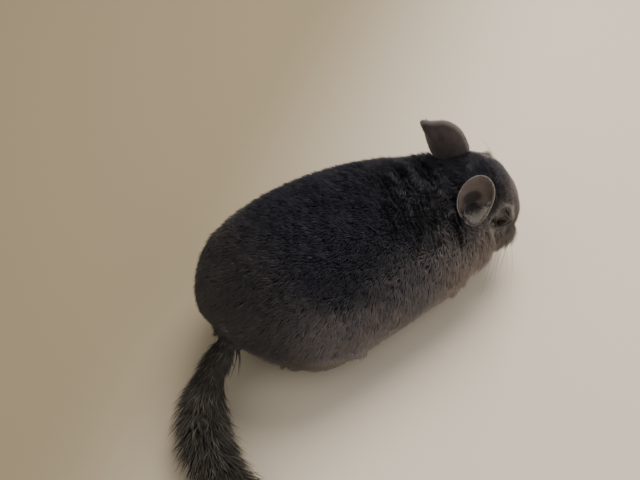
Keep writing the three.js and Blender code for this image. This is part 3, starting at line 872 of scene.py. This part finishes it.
# Where the coat is dense: most on the muzzle and feet, little under the belly, and none in the
# eyes, in the creases or on bare skin
def coat_density(points, regions, part):
    density = np.isin(regions, part["regions"]) * 1.0
    foot = ramp(points[:, 2] / MM, 15, 9) * (regions == "leg")
    density = density * (1 - 0.75 * ramp(points[:, 2] / MM, 5, 0.5) * (foot < 0.5)) * (1 + foot)
    density *= 1 + 0.9 * ramp(in_head(points)[:, 0], 24, 36)
    density *= 1 - ramp(bareness(points), 0.3, 0.6)
    density *= 1 - ramp(crease_at(points)[0], 0.3, 0.55)
    for side in SIDES.values():
        density *= ramp(lid_opening(points, side)[0], 1.5, 2.1)
    return density


# The tufts' directions and sizes: small on the face and feet, parted along the creases, in locks, with
# painted shade for the creases and the pits
def coat_shape(place, normal, region):
    count = len(place)
    height = place[:, 2] / MM
    crease, lean = crease_at(place)
    local = in_head(place)
    x, y, z = local[:, 0], np.abs(local[:, 1]), local[:, 2]
    muzzle = ramp(x, 16, 34) * (region == "head")
    toes = ramp(height, 15, 8) * (region == "leg")
    small = np.maximum(muzzle, toes)
    swirl = 0.4 * ripple(place, 0.024, 11) + 0.3 * ripple(place, 0.009, 12)
    swirl = swirl * (1 - 0.6 * small) + random.normal(0, 0.17, count)
    lie = swirled(lie_of(place, normal, region), normal, swirl)
    forward = np.tile([1.0, 0.0, 0.0], (count, 1))
    lie = unit(lie + (lean * 1.8 * (1 - crease))[:, None] * on_skin(forward, normal))
    ruff = ramp(z, 6, -6) * ramp(y, 10, 20) * ramp(x, -12, 0) * ramp(x, 36, 26)
    pad = ramp(x, 20, 27) * ramp(x, 44, 38) * ramp(y, 4, 8)
    ruff = np.maximum(ruff, 1.25 * pad * ramp(z, 6, -4))
    clump = ripple(place, 0.0055, 13)
    by_ear = ramp(np.minimum(*[distance(local, mirrored(EAR_ROOT, s)) for s in SIDES.values()]), 17, 8)
    length = tuft_sizes("length", region) * MM * (1 + 0.13 * clump + random.normal(0, 0.1, count))
    length = length * (1 - 0.82 * crease) * (1 - 0.62 * muzzle) * (1 - 0.66 * toes) * (1 - 0.55 * by_ear)
    for side in SIDES.values():
        opening, _, offset = lid_opening(place, side)
        ahead = ramp(offset[:, 0], -6, 4)
        length *= 1 - (0.35 + 0.4 * ahead) * ramp(opening, 9, 2.2)
    length = length * (1 - 0.3 * np.abs(lean)) + RUFF_LENGTH * MM * ruff * random.uniform(0.4, 1.3, count)
    pit = ramp(ripple(place, 0.008, 17) + 0.7 * ripple(place, 0.0035, 18), 1.5, 2.1)
    length *= 1 - 0.5 * pit
    # Painted shade in the pits on the high back, added to the creases' shade
    crease = np.maximum(crease, 0.8 * pit * ramp(height, 60, 85))
    width = tuft_sizes("width", region) * MM * random.uniform(0.7, 1.25, count) * (1 - 0.4 * small)
    lift = np.radians(tuft_sizes("lift", region) + 8 * ripple(place, 0.007, 14))
    lift = (lift + random.normal(0, 0.08, count)) * (1 - 0.45 * small)
    end = np.radians(tuft_sizes("end", region)) * (1 - 0.5 * small)
    under = ramp(height, 9, 3)
    lift = lift * (1 - 0.7 * under) * (1 - 0.25 * ruff)
    return lie, length, width, lift, end * (1 - under), crease, lean, clump


# The tufts' own shade, pale streaks on the flanks and beside the creases, and painted shade in the creases,
# the pits and round the eyes
def coat_colours(place, region, crease, lean, clump):
    shade = np.clip(0.5 + 0.2 * clump + random.normal(0, 0.2, len(place)), 0, 1)
    flank = ramp(place[:, 2] / MM, 84, 50) * (region == "torso")
    streak = ramp(ripple(place, 0.015, 15) + 0.6 * ripple(place, 0.006, 16), 0.8, 1.5)
    edge = np.clip(np.abs(lean) * 1.5 - crease * 2.5, 0, 1)
    pale = np.maximum(paleness(place), 0.5 * flank * streak * shade * 1.6)
    pale = np.maximum(pale, 0.03 * edge * ramp(shade, 0.5, 0.85))
    # Painted shade in the creases and pits, and round the eyes
    dark = np.maximum(ramp(crease, 0.05, 0.45), 0.9 * painted_eye_shade(place))
    return {"shade": shade, "pale": np.clip(pale, 0, 1), "crease": dark}


# Which piece of the coat each tuft belongs to
def coat_pieces(place, kind):
    x = place[:, 0] / MM
    y = in_head(place)[:, 1] if kind == "head" else place[:, 1]
    start = -math.inf
    for name, end in COAT_PARTS[kind]["pieces"].items():
        own = (x >= start) & (x < end)
        yield f"coat_{name}_left", own & (y > 0)
        yield f"coat_{name}_right", own & (y <= 0)
        start = end


def make_coat(skin, regions):
    points = points_of(skin.data)
    for kind, part in COAT_PARTS.items():
        density = coat_density(points, regions, part)
        place, normal, region = coat_roots(skin.data, regions, part["count"], density)
        lie, length, width, lift, end, crease, lean, clump = coat_shape(place, normal, region)
        values = coat_colours(place, region, crease, lean, clump)
        for name, own in coat_pieces(place, kind):
            middle, axes = (0, 0, 0.052), ((1, 0, 0), (0, 0, 1))
            if kind == "head":
                middle, axes = HEAD_PLACE, (HEAD_AXES[0], HEAD_AXES[2])
            elif kind == "leg":
                middle = place[own].mean(0)
            uv = unrolled(place[own], middle, *axes)
            shade = {key: value[own] for key, value in values.items()}
            shape = [value[own] for value in (place, normal, lie, length, width, lift, end)]
            tufts(name, *shape, uv, shade, part["material"], part["slot"], part["bends"])


# The tail's long coarse hair: short at the root, then long, and longest at the tip
def make_tail_coat(skin, regions):
    density = relaxed(skin.data, (regions == "tail") * 1.0, 0.5, 6)[:, 0]
    density = np.where(points_of(skin.data)[:, 0] < -0.078, density, 0)
    place, normal, _ = coat_roots(skin.data, regions, TAIL_TUFTS, density)
    count = len(place)
    near = nearest_on_tail(place)
    share = np.clip((TAIL_SHARES[near] - TAIL_STARTS) / (1 - TAIL_STARTS), 0, 1)
    lie = lie_of(place, normal, np.full(count, "tail"))
    lie = swirled(lie, normal, 0.34 * ripple(place, 0.02, 21) + random.normal(0, 0.24, count))
    brush = ramp(share, 0.2, 0.38)
    full = 0.46 + 0.16 * ramp(share, 0.03, 0.16) + 0.46 * brush + 0.2 * ramp(share, 0.75, 1.0)
    length = TUFT["tail"]["length"] * MM * full * random.uniform(0.6, 1.18, count)
    width = TUFT["tail"]["width"] * MM * random.uniform(0.7, 1.2, count)
    upright = 0.42 + 0.22 * ramp(share, 0.05, 0.25) + 0.5 * brush
    lift = np.radians(TUFT["tail"]["lift"] + 10 * ripple(place, 0.012, 22)) * upright
    lift = np.clip(lift + random.normal(0, 0.14, count), 0.12, 1.1)
    end = np.radians(TUFT["tail"]["end"]) * upright
    low = ramp(-normal[:, 2], 0.2, 0.9)
    length, lift, end = length * (1 - 0.45 * low), lift * (1 - 0.75 * low), end * (1 - low)
    shade = np.clip(0.45 + 0.3 * ripple(place, 0.01, 23) + random.normal(0, 0.25, count), 0, 1)
    right_root = ramp(share, 0.45, 0.1) * ramp(-normal[:, 1], 0.1, 0.8)
    values = {"shade": shade, "pale": 0.12 * right_root + 0.05 * brush, "crease": np.zeros(count)}
    around = np.cross([0, 0, 1.0], TAIL_HEADING[near])
    turn = np.arctan2((normal * around).sum(1), normal[:, 2]) / (2 * math.pi) + 0.5
    shape = (place, normal, lie, length, width, lift, end, in_map(TAIL_SHARES[near], turn))
    tufts("coat_tail", *shape, values, TAIL_COAT, "coat_tail", (0.35, 0.7))


# Ears


def ear_frame(side_name):
    tip = Vector(EAR_POSE[side_name]["tip"]).normalized()
    opening = Vector(EAR_POSE[side_name]["opening"])
    opening = (opening - tip * opening.dot(tip)).normalized()
    axes = Matrix((tip.cross(opening), tip, opening)).transposed().to_4x4()
    return head_matrix(EAR_ROOT, SIDES[side_name]) @ axes


# The ear's cup by its own polar places: reach from the middle to the rim, and angle round it
def ear_surface(reach, angle, face, shape):
    across, along = reach * np.cos(angle), reach * np.sin(angle)
    narrow = 1 - shape["narrowing"] * ((1 - along) / 2) ** 1.5
    cup = EAR_CUP * (1 - reach**2.4) * (1 - 0.25 * along)
    fold = 0.9 * bell((along + 0.32) / 0.1) * bell(across / 0.5)
    fold += 0.5 * bell((across - 0.42 * (1 - along)) / 0.08) * ramp(along, 0.3, -0.5)
    hollow = 3.2 * bell((along + 0.58) / 0.2) * bell(across / 0.34)
    wave = 0.35 * np.sin(3 * angle + 0.6) * reach**4
    rim = 0.4 * bell((reach - 0.95) / 0.05)
    wall = EAR_WALL / 2 * face * np.sqrt(np.maximum(1 - reach**9, 0))
    depth = wall - cup + wave + (fold - hollow + rim if face > 0 else rim)
    corner = 1 + shape["corner"] * ear_bump(angle, 0.84, 0.3)
    corner = corner + shape["foot"] * (ear_bump(angle, -0.68, 0.4) + ear_bump(angle, 3.74, 0.4))
    height = (along * corner + 1) / 2 * (shape["length"] + shape["sunk"]) - shape["sunk"]
    return np.stack([across * corner * shape["half_width"] * narrow + shape["aside"], height, depth], -1)


# A smooth bump in an ear's outline at an angle round it
def ear_bump(angle, at, reach):
    off = (angle - at + math.pi) % (2 * math.pi) - math.pi
    return bell(off / reach)


def make_ear(side_name):
    around, rows = 84, 26
    reaches = np.linspace(0, 1, rows + 1)[1:] ** 0.85
    angles = np.arange(around) * 2 * math.pi / around
    points, marks = [], []
    for face in (1, -1):
        used = reaches if face > 0 else reaches[:-1]
        reach = np.append(0.0, np.repeat(used, around))
        angle = np.append(0.0, np.tile(angles, len(used)))
        points.append(ear_surface(reach, angle, face, EAR_SHAPE[side_name]))
        along, across = reach * np.sin(angle), reach * np.cos(angle)
        # Painted shade in the ear's hollow, inside only: a broad patch in the middle and a smaller one near
        # the foot
        shadow = 1.5 * bell((along + 0.14) / 0.25) * bell((across + 0.02) / 0.55)
        shadow += 1.3 * bell((along + 0.58) / 0.16) * bell((across + 0.2) / 0.28)
        inside = np.full(len(reach), float(face > 0))
        marks.append(np.stack([inside, reach, shadow * inside]))
    front, back = 1, 2 + rows * around  # the first rings round each face's middle point
    edge, under = front + (rows - 1) * around, back + (rows - 2) * around
    faces = ring_faces(rows, around, front) + [f[::-1] for f in ring_faces(rows - 1, around, back)]
    for n in range(around):
        m = (n + 1) % around
        faces += [(0, front + n, front + m), (back - 1, back + m, back + n)]
        faces.append((edge + n, under + n, under + m, edge + m))
    matrix = ear_frame(side_name)
    placed = [matrix @ (Vector(p) * MM) for p in np.concatenate(points)]
    ear = piece_of_faces(f"ear_{side_name}_skin", placed, faces, EAR_SKIN)
    # Attributes: inside marks the inner face, rim the reach out to the rim for the painted highlight, deep
    # the painted shade of the hollow
    for name, values in zip(("inside", "rim", "deep"), np.concatenate(marks, 1)):
        point_value(ear.data, name, values)
    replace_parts(ear, f"ear_{side_name}")
    return matrix


# Fine short hair on the ear: a nap on its back, and pale wisps at the foot of its opening
def make_ear_hair(side_name, matrix):
    nap, wisps = EAR_HAIR["nap"], EAR_HAIR["wisps"]
    count = nap["count"] + wisps["count"]
    is_wisp = np.arange(count) >= nap["count"]
    reach = np.sqrt(random.uniform(0.02, 1, count)) * 0.995
    angle = random.uniform(0, 2 * math.pi, count)
    reach[is_wisp] = random.uniform(0.82, 1.0, wisps["count"])
    angle[is_wisp] = random.normal(-math.pi / 2 + 0.25, 0.42, wisps["count"])
    face = np.where(~is_wisp & (random.uniform(size=count) < 0.92), -1, 1)
    surface, ahead, aside = np.zeros((3, count, 3))
    for value in (1, -1):
        own = face == value
        steps = ((surface, 0, 0), (ahead, 0.01, 0), (aside, 0, 0.01))
        for places, out, turn in steps:
            reached = np.minimum(reach[own] + out, 0.999)
            places[own] = ear_surface(reached, angle[own] + turn, value, EAR_SHAPE[side_name])
    normal = unit(np.cross(ahead - surface, aside - surface)) * face[:, None]
    lie = unit(on_skin(np.tile([0.0, 1.0, 0.0], (count, 1)), normal))
    toward = unit(np.array([0.0, 14.0, 3.0]) - surface)
    lie = np.where(is_wisp[:, None], unit(on_skin(toward, normal)), lie)
    long, short = (random.uniform(*kind["length"], count) for kind in (wisps, nap))
    length = np.where(is_wisp, long, short) * MM
    width = np.where(is_wisp, wisps["width"], nap["width"]) * MM
    lift = np.radians(np.where(is_wisp, wisps["lift"], nap["lift"]))
    axes = np.array(matrix.to_3x3())
    place = np.array(matrix.translation) + (surface * MM) @ axes.T
    uv = np.stack([0.5 + 0.24 * reach * np.cos(angle) + 0.25 * face, 0.5 + 0.48 * reach * np.sin(angle)], 1)
    shade = random.uniform(0.3, 1, count)
    values = {"shade": shade, "pale": np.where(is_wisp, 0.95, 0.12), "crease": np.zeros(count)}
    shape = (place, normal @ axes.T, lie @ axes.T, length, width, lift, lift * 0.3)
    tufts(f"coat_ear_{side_name}", *shape, uv, values, HEAD_COAT, "ears", ())


# Eyes, lids, nose, claws and whiskers


# Points on a sphere round an eye in the direction of the lids' opening
def lid_edge(side, angle, grow, radius):
    wide, tall = (math.tan(math.radians(a)) * grow for a in LID_HALF_ANGLES)
    along, across = wide * math.cos(angle), tall * math.sin(angle)
    across *= 1.12 if across > 0 else 0.88
    slant = math.radians(LID_SLANT)
    x = along * math.cos(slant) + across * math.sin(slant)
    z = -along * math.sin(slant) + across * math.cos(slant)
    heading = np.array([x, side, z])
    return mirrored(EYE_AT, side) + heading / np.linalg.norm(heading) * radius


# A lid's rounded rim and the fold of skin outside it, as one ring of strips round the opening
def make_lids(side_name):
    side = SIDES[side_name]
    points = []
    for n in range(LID_STEPS):
        for grow, over in LID_SECTION:
            points.append(lid_edge(side, 2 * math.pi * n / LID_STEPS, grow, EYE_RADIUS + over))
    faces = ring_faces(LID_STEPS, len(LID_SECTION), closed=True)
    if side < 0:
        faces = [face[::-1] for face in faces]
    piece_of_faces(f"lids_{side_name}", from_head(points), faces, LID_SKIN)


def make_eye(side_name):
    mesh = bpy.data.meshes.new(f"eye_{side_name}_wet")
    ball = bmesh.new()
    at = head_matrix(EYE_AT, SIDES[side_name])
    bmesh.ops.create_uvsphere(ball, u_segments=40, v_segments=28, radius=EYE_RADIUS * MM, matrix=at)
    ball.to_mesh(mesh)
    ball.free()
    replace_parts(new_piece(mesh.name, mesh, EYE_DARK), f"eye_{side_name}")


# The nose: a low pad with two comma-shaped nostrils and a groove down its middle
def make_nose():
    around, rows = 48, 30
    tilt = np.repeat(math.pi * np.arange(rows + 1) / rows, around)
    turn = np.tile(2 * math.pi * np.arange(around) / around, rows + 1)
    x, y, z = np.cos(tilt), np.sin(tilt) * np.cos(turn), np.sin(tilt) * np.sin(turn)
    reach = np.ones(len(x))
    for side in (1, -1):
        aside = y - 0.52 * side
        reach -= 0.32 * bell(np.hypot(aside / 0.2, (z - 0.02 - 0.25 * np.abs(aside)) / 0.13)) * (x > 0)
    reach -= 0.1 * bell(y / 0.07) * (x > 0) * (z < 0.35)
    narrow = 1 - 0.3 * np.maximum(0, -z)
    out = np.stack([x, narrow * y, z], 1) * NOSE_SIZES * reach[:, None]
    points = NOSE_AT + out + (-0.8, 0, 0.2)
    faces = ring_faces(rows + 1, around)
    nose = piece_of_faces("nose", from_head(points), faces, NOSE_SKIN)
    clean = bmesh.new()
    clean.from_mesh(nose.data)
    bmesh.ops.remove_doubles(clean, verts=clean.verts, dist=1e-7)
    bmesh.ops.recalc_face_normals(clean, faces=clean.faces)
    clean.to_mesh(nose.data)
    clean.free()


# Whiskers in rows on each side of the muzzle, swept out and back, with two over each eye
def make_whiskers():
    rows = [
        (side, 30 + 2.6 * column - 1.2 * row, 11.5 - 0.7 * column, -7 - 2.6 * row, 56 - 6 * column)
        for side in (1, -1)
        for row in range(4)
        for column in range(4)
    ]
    rows += [(side, 15 + 4 * n, 15, 16 - 2 * n, 20) for side in (1, -1) for n in range(2)]
    steps, around = 10, 5
    shares = np.linspace(0, 1, steps)
    points, faces, tips = [], [], []
    for side, x, y, z, length in rows:
        heading = unit(np.array([-0.18, side * 1.0, 0.28 if z > 0 else -0.05]) + random.normal(0, 0.1, 3))
        sweep = unit(np.array([-1.0, side * 0.25, -0.12]))
        reach = length * random.uniform(0.85, 1.1)
        bend = heading * shares[:, None] + sweep * 0.42 * shares[:, None] ** 2
        line = from_head(np.array([x, y * side, z]) + reach * bend)
        line[:, 2] = np.maximum(line[:, 2], WHISKER_CLEAR * MM)
        own, sides = tube(line, unit(np.gradient(line, axis=0)), (0.14 - 0.11 * shares) * MM, around)
        faces += [tuple(i + len(points) for i in face) for face in sides]
        points += own.tolist()
        tips += np.repeat(shares, around).tolist()
    whiskers = piece_of_faces("whiskers", points, faces, WHISKER)
    point_value(whiskers.data, "tip", tips)


def dress_claws():
    for name, node in nodes.items():
        if name.startswith("claw"):
            dress(node.data, CLAW_HORN)


# Stage: a pale floor with painted shade across it, soft light and the camera

FLOOR_REACH = 12.0
FLOOR_SHADE_FROM = -0.22
FLOOR_SHADE_TO = 0.12
LIGHT_AIM = Vector((0, 0, 0.05))
LIGHTS = {
    "soft key": dict(turn=125, rise=58, away=1.2, size=0.8, power=16, colour=(1.0, 0.97, 0.93)),
    "soft fill": dict(turn=10, rise=50, away=1.6, size=1.4, power=8, colour=(0.95, 0.97, 1.0)),
    "back fill": dict(turn=-100, rise=45, away=1.6, size=1.2, power=3, colour=(1.0, 0.97, 0.93)),
}
ROOM_COLOUR = (0.95, 0.93, 0.9)
ROOM_STRENGTH = 0.5
CAMERA_TURN = -30  # degrees round from the animal's right side towards its rump
CAMERA_RISE = 50
CAMERA_AWAY = 0.6
CAMERA_AIM = (0.02, 0, 0.05)
CAMERA_LENS = 48.4
CAMERA_SHIFT = (-0.072, 0.0235)
CAMERA_SENSOR = 36


# The way to something from its aim: its turn round from the animal's right side, and its rise
def direction(turn, rise):
    a, e = math.radians(turn), math.radians(rise)
    return Vector((math.sin(a) * math.cos(e), -math.cos(a) * math.cos(e), math.sin(e)))


def make_floor():
    mesh = bpy.data.meshes.new("floor")
    points = [(x * FLOOR_REACH, y * FLOOR_REACH, 0) for x, y in ((-1, -1), (1, -1), (1, 1), (-1, 1))]
    mesh.from_pydata(points, [], [(0, 1, 2, 3)])
    material, s = new_material("pale floor", Roughness=0.6, Specular_IOR_Level=0.25)
    x, y, _ = s.node("SeparateXYZ", Vector=s.place()).outputs
    # Painted shade: the floor darkens towards the rump and the animal's left
    share = s.fade(s.math("SUBTRACT", s.times(x, 0.9), y), FLOOR_SHADE_FROM, FLOOR_SHADE_TO)
    s.paint(s.mix(share, (0.28, 0.222, 0.13), (0.68, 0.59, 0.465)))
    mesh.materials.append(material)
    linked("floor", mesh)


def make_light(name, turn, rise, away, size, power, colour):
    light = bpy.data.lights.new(name, "AREA")
    light.shape = "DISK"
    light.size = size
    light.energy = power
    light.color = colour
    lamp = linked(name, light)
    lamp.location = LIGHT_AIM + direction(turn, rise) * away
    lamp.rotation_euler = (LIGHT_AIM - lamp.location).to_track_quat("-Z", "Y").to_euler()


def make_stage():
    make_floor()
    for name, light in LIGHTS.items():
        make_light(name, **light)
    world = bpy.data.worlds.new("soft room")
    world.use_nodes = True
    background = world.node_tree.nodes["Background"]
    background.inputs["Color"].default_value = (*ROOM_COLOUR, 1.0)
    background.inputs["Strength"].default_value = ROOM_STRENGTH
    bpy.context.scene.world = world
    camera = bpy.data.cameras.new("camera")
    camera.lens = CAMERA_LENS
    camera.sensor_width = CAMERA_SENSOR
    camera.shift_x, camera.shift_y = CAMERA_SHIFT
    eye = linked("camera", camera)
    back = direction(CAMERA_TURN, CAMERA_RISE)
    eye.location = Vector(CAMERA_AIM) + back * CAMERA_AWAY
    eye.rotation_euler = (-back).to_track_quat("-Z", "Y").to_euler()
    bpy.context.scene.camera = eye


make_stage()
skin, skin_regions = make_skin()
make_coat(skin, skin_regions)
make_tail_coat(skin, skin_regions)
for side_name in SIDES:
    make_ear_hair(side_name, make_ear(side_name))
    make_eye(side_name)
    make_lids(side_name)
make_nose()
make_whiskers()
dress_claws()
